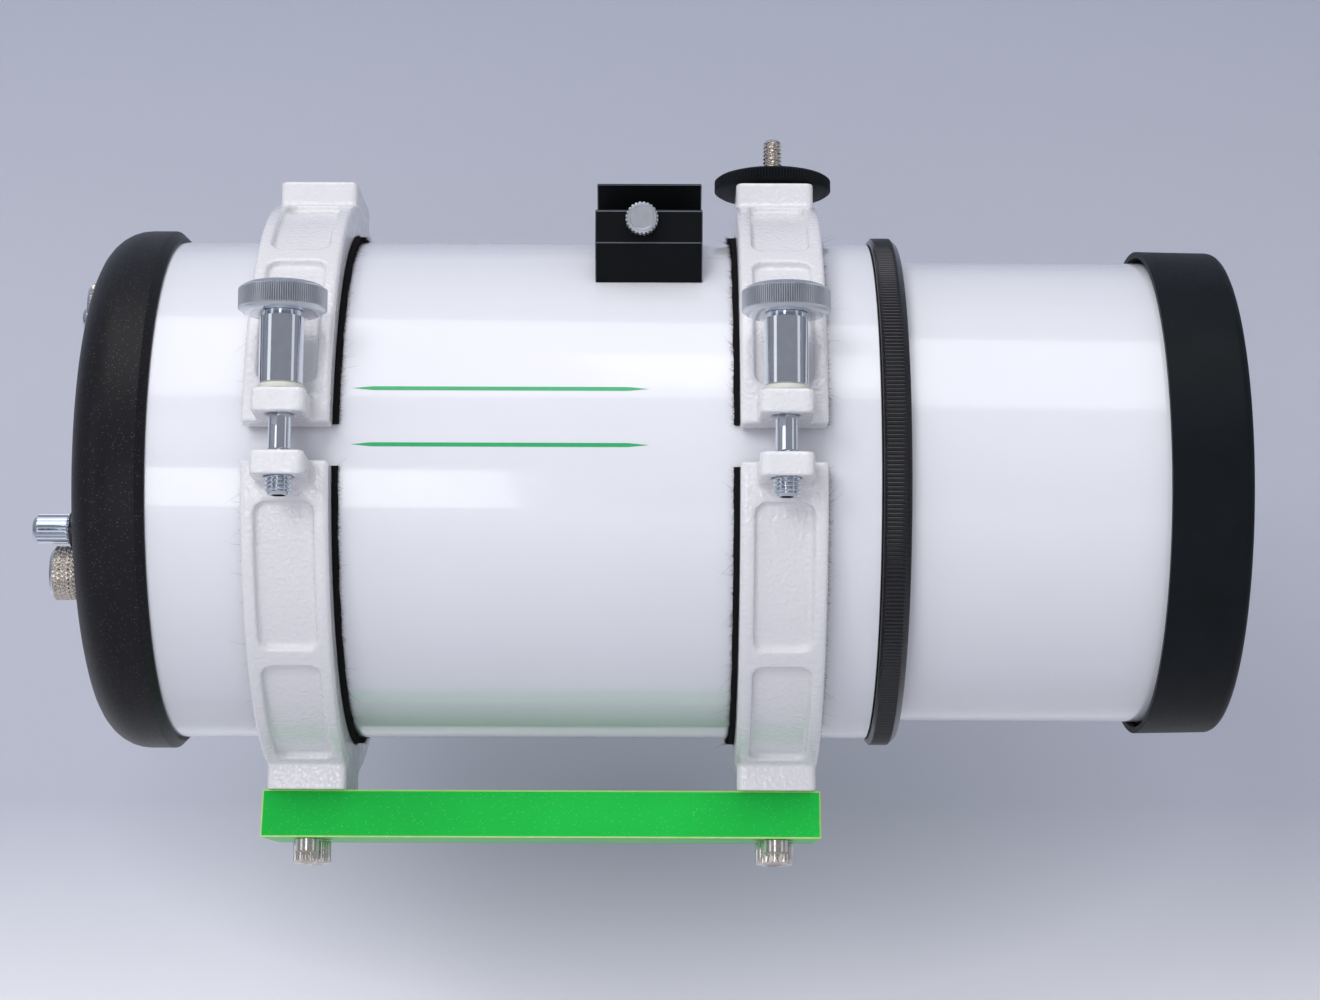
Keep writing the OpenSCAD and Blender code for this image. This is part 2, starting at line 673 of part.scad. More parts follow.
module front_cell() {
    x0 = tube_front - front_cell_l;
    seat_r = corrector_d / 2 + lens_gap;
    lens_front = lens_x + lens_t + joint_gap;
    spigot_x0 = tube_front + flange_t;
    spigot_x1 = knurled_x + spigot_l;
    color("black") turned([
        [seat_r, x0], [front_cell_r, x0], [front_cell_r, tube_front], [tube_r, tube_front],
        [tube_r, spigot_x0], [spigot_r, spigot_x0], [spigot_r, spigot_x1],
        [spigot_r - spigot_wall, spigot_x1], [spigot_r - spigot_wall, tube_front],
        [corrector_d / 2 - lens_lip, tube_front], [corrector_d / 2 - lens_lip, lens_front],
        [seat_r, lens_front]]);
}

module corrector_lens() {
    color("lightcyan", 0.4) tube_ring(corrector_d / 2, barrel_d / 2 + lens_gap, lens_x, lens_x + lens_t);
}

module corrector_retainer() {
    color("black") tube_ring(corrector_d / 2 + lens_gap - running / 2, corrector_d / 2 - retainer_in,
        lens_x - retainer_l, lens_x);
}

module corrector_barrel() {
    bore = barrel_d / 2 - barrel_wall;
    front = lens_x + lens_t;
    flange_r = barrel_d / 2 + barrel_flange;
    color("black") turned([
        [bore, lens_x - barrel_back], [barrel_d / 2, lens_x - barrel_back], [barrel_d / 2, front],
        [flange_r, front], [flange_r, front + barrel_flange_t], [barrel_d / 2, front + barrel_flange_t],
        [barrel_d / 2, front + barrel_fore], [bore, front + barrel_fore]]);
}

module field_lens(i) {
    x0 = lens_x + field_lenses[i][0];
    color("lightcyan", 0.4) tube_disc(barrel_d / 2 - barrel_wall - running / 2, x0, x0 + field_lenses[i][1]);
}

module camera_adapter() {
    x0 = lens_x + lens_t + barrel_fore;
    out_r = barrel_d / 2 + adapter_wall;
    color("black") tube_ring(out_r, camera_thread_d / 2, x0, x0 + adapter_l);
}

module knurled_ring() {
    color("black") turned([
        [dew_od / 2 + joint_gap, knurled_x], [knurled_r - knurled_edge, knurled_x],
        [knurled_r, knurled_x + knurled_edge], [knurled_r, knurled_x + knurled_len - knurled_front_edge],
        [knurled_r - knurled_front_edge, knurled_x + knurled_len],
        [dew_od / 2 + joint_gap, knurled_x + knurled_len]]);
}

module dew_shield() {
    color("white") tube_ring(dew_od / 2, dew_od / 2 - dew_wall, dew_x0, dew_x1);
}

module dust_cap() {
    steps = 5;
    color("black") turned(concat(
        [[cap_ri, cap_x0], [cap_ro, cap_x0]],
        [for (i = [0:steps]) [cap_ro - cap_edge - cap_round + cap_round * cos(90 * i / steps),
            cap_x1 - cap_round + cap_round * sin(90 * i / steps)]],
        [[0, cap_x1], [0, cap_x1 - cap_face_t], [cap_ri, cap_x1 - cap_face_t]]));
}

module cap_liner() {
    color("dimgray") tube_ring(cap_ri, dew_od / 2 + running, cap_x0 + liner_x0, dew_x1 - liner_x1);
}

dovetail_bar();
bar_bolts();
bar_locating_screws();
rear_ring_lower();
rear_ring_upper();
rear_felt_lower();
rear_felt_upper();
rear_hinge_pin();
rear_clamp_washer();
rear_clamp_knob();
rear_clamp_screw();
front_ring_lower();
front_ring_upper();
front_felt_lower();
front_felt_upper();
front_hinge_pin();
front_clamp_washer();
front_clamp_knob();
front_clamp_screw();
accessory_stud();
accessory_lock_disc();
main_tube();
baffle_rings();
finder_shoe();
shoe_screws();
shoe_clamp_screw();
rear_cell();
mirror_cell();
primary_mirror();
mirror_clips();
cell_screws();
collimation_knob(0);  // collimation_knob_1
collimation_knob(1);  // collimation_knob_2
collimation_knob(2);  // collimation_knob_3
lock_screw(0);  // lock_screw_1
lock_screw(1);  // lock_screw_2
lock_screw(2);  // lock_screw_3
front_cell();
corrector_lens();
corrector_retainer();
corrector_barrel();
field_lens(0);  // field_lens_outer
field_lens(1);  // field_lens_inner
camera_adapter();
knurled_ring();
dew_shield();
dust_cap();
cap_liner();
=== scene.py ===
# Short reflector camera tube in hinged rings on a green dovetail bar: finishes and detail pieces
import json
import math
import random
import bpy
from mathutils import Matrix, Vector


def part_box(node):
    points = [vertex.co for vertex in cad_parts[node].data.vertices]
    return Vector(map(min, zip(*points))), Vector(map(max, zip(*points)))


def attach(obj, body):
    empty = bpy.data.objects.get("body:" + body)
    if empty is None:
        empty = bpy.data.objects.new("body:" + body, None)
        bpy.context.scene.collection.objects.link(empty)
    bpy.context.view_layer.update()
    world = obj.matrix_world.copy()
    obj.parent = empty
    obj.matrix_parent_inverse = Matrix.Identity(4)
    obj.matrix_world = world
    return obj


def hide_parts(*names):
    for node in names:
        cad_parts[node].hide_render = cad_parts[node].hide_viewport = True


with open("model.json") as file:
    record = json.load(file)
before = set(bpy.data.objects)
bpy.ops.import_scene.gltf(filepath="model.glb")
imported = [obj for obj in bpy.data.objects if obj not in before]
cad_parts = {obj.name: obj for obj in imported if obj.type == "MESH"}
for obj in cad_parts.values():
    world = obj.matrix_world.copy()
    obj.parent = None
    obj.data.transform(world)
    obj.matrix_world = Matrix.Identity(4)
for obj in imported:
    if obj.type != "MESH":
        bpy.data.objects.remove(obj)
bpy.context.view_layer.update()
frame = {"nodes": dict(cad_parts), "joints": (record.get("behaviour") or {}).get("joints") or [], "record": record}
mm = 0.001
turn = 2 * math.pi
axisZ = sum(c.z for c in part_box("main_tube")) / 2  # height of the tube's axis


# small helpers
def jointOf(name):
    return next(j for j in frame["joints"] if j["name"] == name)


def bodyOf(node):
    groups = frame["record"]["behaviour"]["bodies"]
    return next(body for body, nodes in groups.items() if node in nodes)


def newMesh(name, verts, faces, finish, smooth=35):
    mesh = bpy.data.meshes.new(name)
    mesh.from_pydata([tuple(v) for v in verts], [], faces)
    mesh.materials.append(finish)
    mesh.polygons.foreach_set("use_smooth", [True] * len(mesh.polygons))
    obj = bpy.data.objects.new(name, mesh)
    bpy.context.scene.collection.objects.link(obj)
    mesh.set_sharp_from_angle(angle=math.radians(smooth))
    return obj


def standIn(obj, node):
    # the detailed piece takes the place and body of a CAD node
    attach(obj, bodyOf(node))
    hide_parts(node)


def axisFrame(place, direction):
    z = Vector(direction).normalized()
    side = Vector((1, 0, 0)) if abs(z.z) > 0.99 else Vector((0, 0, 1))
    x = (side - z * side.dot(z)).normalized()
    y = z.cross(x)
    return Matrix((
        (x.x, y.x, z.x, place[0]), (x.y, y.y, z.y, place[1]), (x.z, y.z, z.z, place[2]), (0, 0, 0, 1)))


def turned(name, rows, segments, finish, place, smooth=35):
    # rows are (height, radius) in mm along the piece's axis; a radius may be a function of angle and height
    hollow = rows[0] == rows[-1]  # a closed profile has a bore, and no end faces
    rows = rows[:-1] if hollow else rows
    verts, faces = [], []
    for height, radius in rows:
        for k in range(segments):
            a = turn * k / segments
            r = radius(a, height) if callable(radius) else radius
            verts.append(place @ Vector((r * mm * math.cos(a), r * mm * math.sin(a), height * mm)))
    total = len(rows) * segments
    for row in range(len(rows) if hollow else len(rows) - 1):
        for k in range(segments):
            a, b = row * segments + k, row * segments + (k + 1) % segments
            faces.append((a, b, (b + segments) % total, (a + segments) % total))
    if not hollow:
        faces.append(tuple(reversed(range(segments))))
        faces.append(tuple(range(total - segments, total)))
    return newMesh(name, verts, faces, finish, smooth)


def steps(low, high, count):
    return [low + (high - low) * i / count for i in range(count + 1)]


def wave(t):
    # triangle wave: 0 at the valley, 1 at the crest
    return 1 - abs(2 * (t % 1) - 1)


def ribs(radius, depth, count):
    # straight ribs with flat crests
    return lambda a, h: radius - depth * (1 - min(1, 1.5 * wave(a * count / turn)))


def diamonds(radius, depth, count, lead):
    def shape(a, h):
        one = wave(a * count / turn + h / lead)
        two = wave(a * count / turn - h / lead)
        return radius - depth * (1 - min(1, 1.4 * min(one, two)))
    return shape


def thread(outer, inner, pitch):
    return lambda a, h: inner + (outer - inner) * min(1, 1.25 * wave(h / pitch - a / turn))


def hexagon(half):
    # radius of a hexagon whose flats lie at this distance
    return lambda a, h: half / math.cos((a % (turn / 6)) - turn / 12)


# finishes
class Finish:
    # one node material; constant values sit on the shader's own sockets
    def __init__(self, name, color, rough, **sockets):
        self.material = bpy.data.materials.new(name)
        self.material.use_nodes = True
        self.tree = self.material.node_tree
        self.shader = self.tree.nodes["Principled BSDF"]
        self.place = self.add("ShaderNodeTexCoord").outputs["Object"]
        self.shader.inputs["Base Color"].default_value = (*color, 1)
        self.shader.inputs["Roughness"].default_value = rough
        for socket, value in sockets.items():
            self.shader.inputs[socket.replace("_", " ")].default_value = value

    def add(self, kind, **inputs):
        node = self.tree.nodes.new(kind)
        for socket, value in inputs.items():
            self.feed(node.inputs[socket.replace("_", " ")], value)
        return node

    def feed(self, socket, value):
        if isinstance(value, bpy.types.NodeSocket):
            self.tree.links.new(value, socket)
        else:
            socket.default_value = value

    def noise(self, size, detail=3, rough=0.5, stretch=(1, 1, 1)):
        # size is the width of the grain in mm
        scaled = self.add("ShaderNodeMapping", Vector=self.place, Scale=stretch).outputs["Vector"]
        return self.add("ShaderNodeTexNoise", Vector=scaled, Scale=1 / (size * mm), Detail=detail,
                        Roughness=rough).outputs["Fac"]

    def specks(self, size, wide, narrow):
        # a dot in the middle of each cell of this width, 1 within the narrow radius
        cells = self.add("ShaderNodeTexVoronoi", Vector=self.place, Scale=1 / (size * mm))
        return self.ramp(cells.outputs["Distance"], wide, narrow)

    def ramp(self, value, low, high, start=0.0, end=1.0):
        node = self.add("ShaderNodeMapRange")
        for socket, given in (("Value", value), ("From Min", low), ("From Max", high),
                              ("To Min", start), ("To Max", end)):
            self.feed(node.inputs[socket], given)
        return node.outputs["Result"]

    def mix(self, fac, one, two):
        node = self.tree.nodes.new("ShaderNodeMix")
        node.data_type = "RGBA"
        self.feed(node.inputs[0], fac)
        self.feed(node.inputs[6], one)
        self.feed(node.inputs[7], two)
        return node.outputs[2]

    def math(self, operation, one, two=0.5):
        node = self.tree.nodes.new("ShaderNodeMath")
        node.operation = operation
        self.feed(node.inputs[0], one)
        self.feed(node.inputs[1], two)
        return node.outputs[0]

    def color(self, value):
        self.feed(self.shader.inputs["Base Color"], value)

    def rough(self, value):
        self.feed(self.shader.inputs["Roughness"], value)

    def bump(self, height, depth):
        # depth is the height of the relief in mm
        node = self.add("ShaderNodeBump", Height=height, Distance=depth * mm, Strength=1.0)
        self.tree.links.new(node.outputs["Normal"], self.shader.inputs["Normal"])


def shade(color, gain):
    return (*[min(1, c * gain) for c in color], 1)


lacquer = {"color": (0.80, 0.81, 0.86), "rough": 0.13, "peel": 6.4, "peelDepth": 0.012}


def tubeLacquer():
    f = Finish("tubeLacquer", lacquer["color"], lacquer["rough"], Coat_Weight=0.6, Coat_Roughness=0.05)
    tone = f.noise(45, detail=2)
    f.color(f.mix(tone, shade(lacquer["color"], 0.985), shade(lacquer["color"], 1.015)))
    f.rough(f.ramp(f.noise(6, detail=4), 0.35, 0.65, lacquer["rough"] - 0.03, lacquer["rough"] + 0.05))
    f.bump(f.noise(lacquer["peel"], detail=2), lacquer["peelDepth"])
    return f.material


powder = {"color": (0.78, 0.775, 0.80), "rough": 0.11, "grain": 1.2, "grainDepth": 0.26}


def ringPowder():
    f = Finish("ringPowder", powder["color"], powder["rough"], Specular_IOR_Level=0.9)
    tone = f.noise(18, detail=3)
    f.color(f.mix(tone, shade(powder["color"], 0.985), shade(powder["color"], 1.015)))
    hammer = f.noise(powder["grain"], detail=1.0, rough=0.3)
    f.rough(f.ramp(f.noise(5, detail=3), 0.3, 0.7, powder["rough"] - 0.04, powder["rough"] + 0.06))
    f.bump(hammer, powder["grainDepth"])
    return f.material


def satinBlack(name, color, rough, grain, grainDepth, flakeAndPaintedGlint=0.0, shine=0.35):
    f = Finish(name, color, rough, Specular_IOR_Level=shine)
    tone = f.mix(f.noise(12, detail=4), shade(color, 0.7), shade(color, 1.4))
    if flakeAndPaintedGlint:  # metal dust in the paint as light specks in the colour: partly the flakes' own colour, partly painted glints
        flakeAndGlintSpecks = f.specks(0.8, 0.14, 0.06)
        tone = f.mix(f.math("MULTIPLY", flakeAndGlintSpecks, flakeAndPaintedGlint), tone, shade((1, 1, 1), 0.45))
    f.color(tone)
    grainField = f.noise(grain, detail=3, rough=0.6)
    f.rough(f.ramp(grainField, 0.3, 0.7, rough - 0.08, rough + 0.1))
    f.bump(grainField, grainDepth)
    return f.material


anodised = {"color": (0.012, 0.53, 0.065), "flake": 0.9, "flakeAndPaintedGlint": (0.55, 0.95, 0.50), "rough": 0.36}


def greenAnodised():
    f = Finish("greenAnodised", anodised["color"], anodised["rough"], Metallic=0.75, Specular_IOR_Level=0.5)
    body = f.mix(f.noise(30, detail=2), shade(anodised["color"], 0.9), shade(anodised["color"], 1.15))
    # painted glints: light green-white specks in the colour, partly the flakes' own colour, partly painted glint
    flakeAndGlintSpecks = f.specks(anodised["flake"], 0.13, 0.06)
    f.color(f.mix(f.math("MULTIPLY", flakeAndGlintSpecks, 0.6), body, (*anodised["flakeAndPaintedGlint"], 1)))
    f.rough(f.ramp(f.noise(2, detail=3), 0.3, 0.7, anodised["rough"] - 0.03, anodised["rough"] + 0.03))
    f.bump(f.noise(0.6, detail=2), 0.004)
    return f.material


def greenEdgeHighlight():
    # painted highlight: the bar's chamfers get a pale yellow-green colour that stands in for the light their edges
    # catch
    f = Finish("greenEdgeHighlight", (0.62, 0.95, 0.30), 0.3, Metallic=0.2)
    f.color(f.mix(f.noise(2.5, detail=3), (0.36, 0.90, 0.14, 1), (0.80, 1.0, 0.38, 1)))
    f.bump(f.noise(0.4, detail=2, stretch=(0.05, 1, 1)), 0.002)
    return f.material


def metal(name, color, rough, grain, grainDepth, grime=0.0):
    f = Finish(name, color, rough, Metallic=1.0)
    tone = f.mix(f.noise(4, detail=4), shade(color, 0.9), shade(color, 1.06))
    if grime:
        dirt = f.math("MULTIPLY", f.ramp(f.noise(1.2, detail=5), 0.5, 0.68), grime)
        tone = f.mix(dirt, tone, shade(color, 0.25))
    f.color(tone)
    lines = f.noise(grain, detail=3)
    f.rough(f.ramp(lines, 0.3, 0.7, max(0.02, rough - 0.05), rough + 0.07))
    f.bump(lines, grainDepth)
    return f.material


def blackFelt():
    f = Finish("blackFelt", (0.006, 0.006, 0.007), 0.95, Specular_IOR_Level=0.15)
    nap = f.noise(0.5, detail=6, rough=0.75)
    f.color(f.mix(nap, (0.003, 0.003, 0.004, 1), (0.018, 0.017, 0.020, 1)))
    f.bump(nap, 0.5)
    return f.material


def nylonWasher():
    f = Finish("nylonWasher", (0.78, 0.74, 0.62), 0.45, Subsurface_Weight=0.15)
    f.color(f.mix(f.noise(2, detail=3), (0.70, 0.66, 0.54, 1), (0.84, 0.81, 0.70, 1)))
    f.bump(f.noise(0.4, detail=3), 0.02)
    return f.material


def coatedGlass():
    f = Finish("coatedGlass", (0.9, 0.97, 0.95), 0.02, Transmission_Weight=1.0, IOR=1.52, Coat_Weight=0.5)
    f.color(f.mix(f.noise(40, detail=2), (0.86, 0.95, 0.93, 1), (0.93, 0.97, 0.99, 1)))
    f.rough(f.ramp(f.noise(3, detail=5), 0.45, 0.8, 0.01, 0.05))
    return f.material


finishes = {
    "tube": tubeLacquer(),
    "ring": ringPowder(),
    "cell": satinBlack("cellBlack", (0.007, 0.007, 0.009), 0.40, 0.35, 0.03, flakeAndPaintedGlint=0.5, shine=0.22),
    "cap": satinBlack("capBlack", (0.004, 0.006, 0.008), 0.5, 0.5, 0.012, shine=0.16),
    "shoe": satinBlack("shoeBlack", (0.003, 0.004, 0.005), 0.5, 0.25, 0.012, shine=0.12),
    # painted highlight: the shoe's chamfers are a lighter grey than its black body, standing in for the light
    # lines on its edges
    "shoeEdgeHighlight": satinBlack("shoeEdgeHighlight", (0.09, 0.10, 0.12), 0.4, 0.2, 0.012),
    "knurl": satinBlack("knurlBlack", (0.008, 0.008, 0.010), 0.2, 0.25, 0.002, shine=0.5),
    "inside": satinBlack("insideBlack", (0.012, 0.012, 0.012), 0.8, 0.4, 0.05),
    "bar": greenAnodised(),
    "barEdgeHighlight": greenEdgeHighlight(),
    "felt": blackFelt(),
    "chrome": metal("brightChrome", (0.66, 0.70, 0.76), 0.08, grain=2.0, grainDepth=0.002),
    "zinc": metal("zincPlate", (0.66, 0.69, 0.73), 0.36, grain=1.2, grainDepth=0.001),
    "nickel": metal("warmNickel", (0.62, 0.56, 0.50), 0.20, grain=1.2, grainDepth=0.001),
    "steel": metal("screwSteel", (0.78, 0.73, 0.68), 0.18, grain=1.0, grainDepth=0.001, grime=0.12),
    "dark": metal("darkSteel", (0.12, 0.12, 0.13), 0.35, grain=0.3, grainDepth=0.006, grime=0.5),
    "nylon": nylonWasher(),
    "glass": coatedGlass(),
    "mirror": metal("mirrorCoat", (0.90, 0.91, 0.93), 0.03, grain=8.0, grainDepth=0.0005),
}
print("finishes made:", len(finishes))


# CAD nodes that keep their shape
def dress(node, finish, bevel=0.0, segments=3, edgeFinish=None, angle=40):
    obj = frame["nodes"][node]
    obj.data.materials.clear()
    obj.data.materials.append(finishes[finish])
    if edgeFinish:
        obj.data.materials.append(finishes[edgeFinish])
    weld = obj.modifiers.new("weld", "WELD")
    weld.merge_threshold = 1e-6
    if bevel:
        round_ = obj.modifiers.new("edges", "BEVEL")
        round_.width = bevel * mm
        round_.segments = segments
        round_.limit_method = "ANGLE"
        round_.angle_limit = math.radians(angle)
        round_.use_clamp_overlap = True
        round_.harden_normals = False
        if edgeFinish:
            round_.material = 1
    smooth = obj.modifiers.new("normals", "WEIGHTED_NORMAL")
    smooth.keep_sharp = True


castRing = {"voxel": 0.6, "softness": 7}


def castShape(node, finish):
    # a cast and painted part has no sharp edge: fine cells, then smoothed
    obj = frame["nodes"][node]
    obj.data.materials.clear()
    obj.data.materials.append(finishes[finish])
    cells = obj.modifiers.new("cells", "REMESH")
    cells.mode = "VOXEL"
    cells.voxel_size = castRing["voxel"] * mm
    cells.use_smooth_shade = True
    soft = obj.modifiers.new("soft", "SMOOTH")
    soft.factor = 0.5
    soft.iterations = castRing["softness"]


for ringNode in ("rear_ring_lower", "rear_ring_upper", "front_ring_lower", "front_ring_upper"):
    castShape(ringNode, "ring")


cadFinishes = {
    "tube": [("main_tube", 0.25), ("dew_shield", 0.3)],
    "cell": [("rear_cell", 0.3)],
    "cap": [("dust_cap", 0.4)],
    "felt": [("cap_liner", 0)],
    "chrome": [("rear_hinge_pin", 0.4), ("front_hinge_pin", 0.4)],
    "nylon": [("rear_clamp_washer", 0.3), ("front_clamp_washer", 0.3)],
    "steel": [("shoe_screws", 0.2)],
    "dark": [("cell_screws", 0.15)],
    "inside": [("baffle_rings", 0), ("mirror_cell", 0.3), ("mirror_clips", 0.3), ("front_cell", 0.3),
               ("corrector_retainer", 0.3), ("corrector_barrel", 0.3), ("camera_adapter", 0.3)],
    "glass": [("corrector_lens", 0.4), ("field_lens_outer", 0.3), ("field_lens_inner", 0.3)],
    "mirror": [("primary_mirror", 0.4)],
}
for finish, nodes in cadFinishes.items():
    for node, bevel in nodes:
        dress(node, finish, bevel)
dress("dovetail_bar", "bar", bevel=0.5, segments=1, edgeFinish="barEdgeHighlight")
dress("finder_shoe", "shoe", bevel=0.25, segments=1, edgeFinish="shoeEdgeHighlight", angle=12)


def blackInside(node):
    # a tube is matt black on the faces that look toward its axis
    obj = frame["nodes"][node]
    obj.data.materials.append(finishes["inside"])
    for face in obj.data.polygons:
        center = obj.matrix_world @ face.center
        if face.normal.dot(Vector((0, center.y, center.z - axisZ)).normalized()) < -0.5:
            face.material_index = 1


blackInside("main_tube")
blackInside("dew_shield")
print("CAD nodes dressed")


# felt between rings and tube
felt = {"past": 1.75, "pastOut": 0.3, "lift": 0.06, "thick": 1.9, "frontCut": {"upper": 7.0, "lower": -5.65},
        "rearCut": {"upper": 0.62, "lower": -0.62}, "parts": 420,
        "ragged": 0.22, "hairs": 4200, "hairLength": (0.8, 2.6), "hairThick": 0.045,
        "strays": 40, "strayLength": (3.0, 7.0)}


def strand(verts, faces, start, along, bend, length, thick):
    # one hair: a bent three-sided needle
    side = along.cross(bend).normalized()
    points = [start + along * length * t + bend * length * 0.55 * t * t for t in (0, 0.3, 0.65, 1)]
    first = len(verts)
    for i, p in enumerate(points):
        r = thick * (1 - 0.28 * i)
        for k in range(3):
            a = turn * k / 3
            verts.append(p + (side * math.cos(a) + bend.normalized() * math.sin(a)) * r)
    for i in range(len(points) - 1):
        for k in range(3):
            a, b = first + i * 3 + k, first + i * 3 + (k + 1) % 3
            faces.append((a, b, b + 3, a + 3))
    last = len(verts) - 3
    faces.append((last, last + 1, last + 2))
    faces.append((first + 2, first + 1, first))


def feltStrip(side, half):
    node = f"{side}_felt_{half}"
    low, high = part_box(node)
    rng = random.Random(node)
    tubeOut = (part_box("main_tube")[1].z - axisZ) / mm
    middle, halfWidth = (low.x + high.x) / 2, (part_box(f"{side}_ring_lower")[1].x - (low.x + high.x) / 2) / mm
    inner, outer = tubeOut + felt["lift"], tubeOut + felt["lift"] + felt["thick"]
    start = math.asin(felt["frontCut"][half] / inner)
    end = (math.pi if half == "upper" else -math.pi) - math.asin(felt["rearCut"][half] / inner)
    count = felt["parts"]
    # the strip lies nearer to the middle of the tube than its ring does
    inward = -1 if middle > 0 else 1
    reach = {inward: halfWidth + felt["past"], -inward: halfWidth + felt["pastOut"]}
    phase = [rng.uniform(0, turn) for _ in range(8)]
    section = [(-1, 0.0), (-1, 0.3), (-1, 0.75), (-1, 1.0), (-0.86, 1.0), (0.86, 1.0), (1, 1.0), (1, 0.75),
               (1, 0.3), (1, 0.0)]

    def spot(angle, x, radius):
        r = radius * mm
        return Vector((middle + x * mm, -r * math.cos(angle), axisZ + r * math.sin(angle)))

    verts, faces = [], []
    for i in range(count + 1):
        angle = start + (end - start) * i / count
        for j, (way, level) in enumerate(section):
            wild = felt["ragged"] * (rng.uniform(-1, 1) * 0.6 + math.sin(angle * 31 + phase[j % 4]) * 0.5)
            x = way * reach[1 if way > 0 else -1] - way * 0.5 * (level in (0.0, 1.0))
            x += wild if abs(way) == 1 else 0
            radius = inner + (outer - inner) * level
            if abs(way) == 1 and 0 < level < 1:
                radius += rng.uniform(-0.1, 0.1)
            verts.append(spot(angle, x, radius))
    n = len(section)
    for i in range(count):
        for j in range(n):
            a, b = i * n + j, i * n + (j + 1) % n
            faces.append((a, b, b + n, a + n))
    faces.append(tuple(range(n - 1, -1, -1)))
    faces.append(tuple(range(count * n, count * n + n)))
    for h in range(felt["hairs"] + felt["strays"]):  # fine nap, and a few long stray hairs
        stray = h >= felt["hairs"]
        angle = rng.uniform(start, end)
        way = rng.choice((-1, 1))
        root = spot(angle, way * (reach[way] - 0.25), inner + rng.uniform(0.15, 0.95) * (outer - inner))
        radial = (spot(angle, 0, 2) - spot(angle, 0, 1)).normalized()
        around = Vector((1, 0, 0)).cross(radial)
        along = Vector((way, 0, 0)) + around * rng.uniform(-1.3, 1.3) + radial * rng.uniform(0.02, 0.5)
        bend = around * rng.uniform(-1, 1) + radial * rng.uniform(0.0, 0.35) + Vector((0.01, 0, 0))
        low_, high_ = felt["strayLength"] if stray else felt["hairLength"]
        length = rng.uniform(low_, high_) * (1 if stray else rng.uniform(0.3, 1))
        strand(verts, faces, root, along.normalized(), bend, length * mm, felt["hairThick"] * mm)
    standIn(newMesh(f"felt.{side}.{half}", verts, faces, finishes["felt"], 60), node)


for side in ("rear", "front"):
    for half in ("lower", "upper"):
        feltStrip(side, half)
print("felt made")


# clamp knobs and screws
clampKnob = {"ribs": 120, "ribDepth": 0.55, "head": 8.3, "barrel": 6.5}
clampScrew = {"pitch": 1.25, "threadDepth": 0.62, "chamfer": 1.0, "key": 2.0, "neck": 0.7,
              "threadShare": 0.27}


def knobOnRing(side):
    node = side + "_clamp_knob"
    low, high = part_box(node)
    top = (high.z - low.z) / mm
    headRadius = (high.x - low.x) / 2 / mm
    place = axisFrame(((low.x + high.x) / 2, (low.y + high.y) / 2, low.z), (0, 0, 1))
    k = clampKnob
    headLow, barrel = top - k["head"], k["barrel"]
    grip = ribs(headRadius, k["ribDepth"], k["ribs"])
    base = headRadius - k["ribDepth"]
    rows = [(0.03, barrel - 0.9), (0.03, barrel - 0.35), (0.35, barrel), (headLow - 1.2, barrel),
            (headLow - 1.1, barrel - 1), (headLow, barrel - 1), (headLow, base - 1.6),
            (headLow + 0.5, base - 0.5), (headLow + 1.0, base), (headLow + 1.3, grip)]
    rows += [(h, grip) for h in steps(headLow + 1.6, top - 1.7, 4)]
    rows += [(top - 1.3, grip), (top - 1.0, base), (top - 0.5, base - 0.5), (top, base - 1.5),
             (top, barrel + 0.4), (top - 0.3, barrel + 0.2), (top - 0.3, barrel - 0.6), (top, barrel - 0.9),
             (top, 0.01)]
    knob = turned("clampKnob." + side, rows, k["ribs"] * 6, finishes["zinc"], place)
    knob.data.materials.append(finishes["chrome"])
    for face in knob.data.polygons:  # the barrel is polished, the head is dull zinc
        height = (place.inverted() @ face.center).z / mm
        if height < headLow + 0.05:
            face.material_index = 1
    standIn(knob, node)


def screwOnRing(side):
    node = side + "_clamp_screw"
    low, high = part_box(node)
    length = (high.z - low.z) / mm
    outer = (high.x - low.x) / 2 / mm
    place = axisFrame(((low.x + high.x) / 2, (low.y + high.y) / 2, low.z), (0, 0, 1))
    s = clampScrew
    shape = thread(outer, outer - s["threadDepth"], s["pitch"])
    shank = outer - s["neck"]
    threadTop = length * s["threadShare"]
    rows = [(2.2, 0.01), (2.2, hexagon(s["key"])), (0, hexagon(s["key"])), (0, outer - s["chamfer"]),
            (0.4, outer - s["threadDepth"])]
    rows += [(h, shape) for h in steps(0.7, threadTop, 72)]
    rows += [(threadTop + 0.2, shank), (length - 0.4, shank), (length, shank - 0.4), (length, 0.01)]
    standIn(turned("clampScrew." + side, rows, 72, finishes["chrome"], place), node)


for side in ("rear", "front"):
    knobOnRing(side)
    screwOnRing(side)
print("clamps made")


# accessory stud and its knurled lock disc
stud = {"pitch": 1.27, "threadDepth": 0.85}
lockDisc = {"ribs": 118, "ribDepth": 0.35, "bore": 3.3, "hub": 7, "hubHeight": 1.1}


def accessoryStud():
    low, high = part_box("accessory_stud")
    length, outer = (high.z - low.z) / mm, (high.x - low.x) / 2 / mm
    shape = thread(outer, outer - stud["threadDepth"], stud["pitch"])
    rows = [(0, 0.01), (0, outer - 0.8)]
    rows += [(h, shape) for h in steps(0.4, length - 0.9, 170)]
    rows += [(length - 0.5, outer - 0.75), (length, outer - 1.1), (length, 0.01)]
    place = axisFrame(((low.x + high.x) / 2, 0, low.z), (0, 0, 1))
    standIn(turned("accessoryStud", rows, 48, finishes["steel"], place), "accessory_stud")


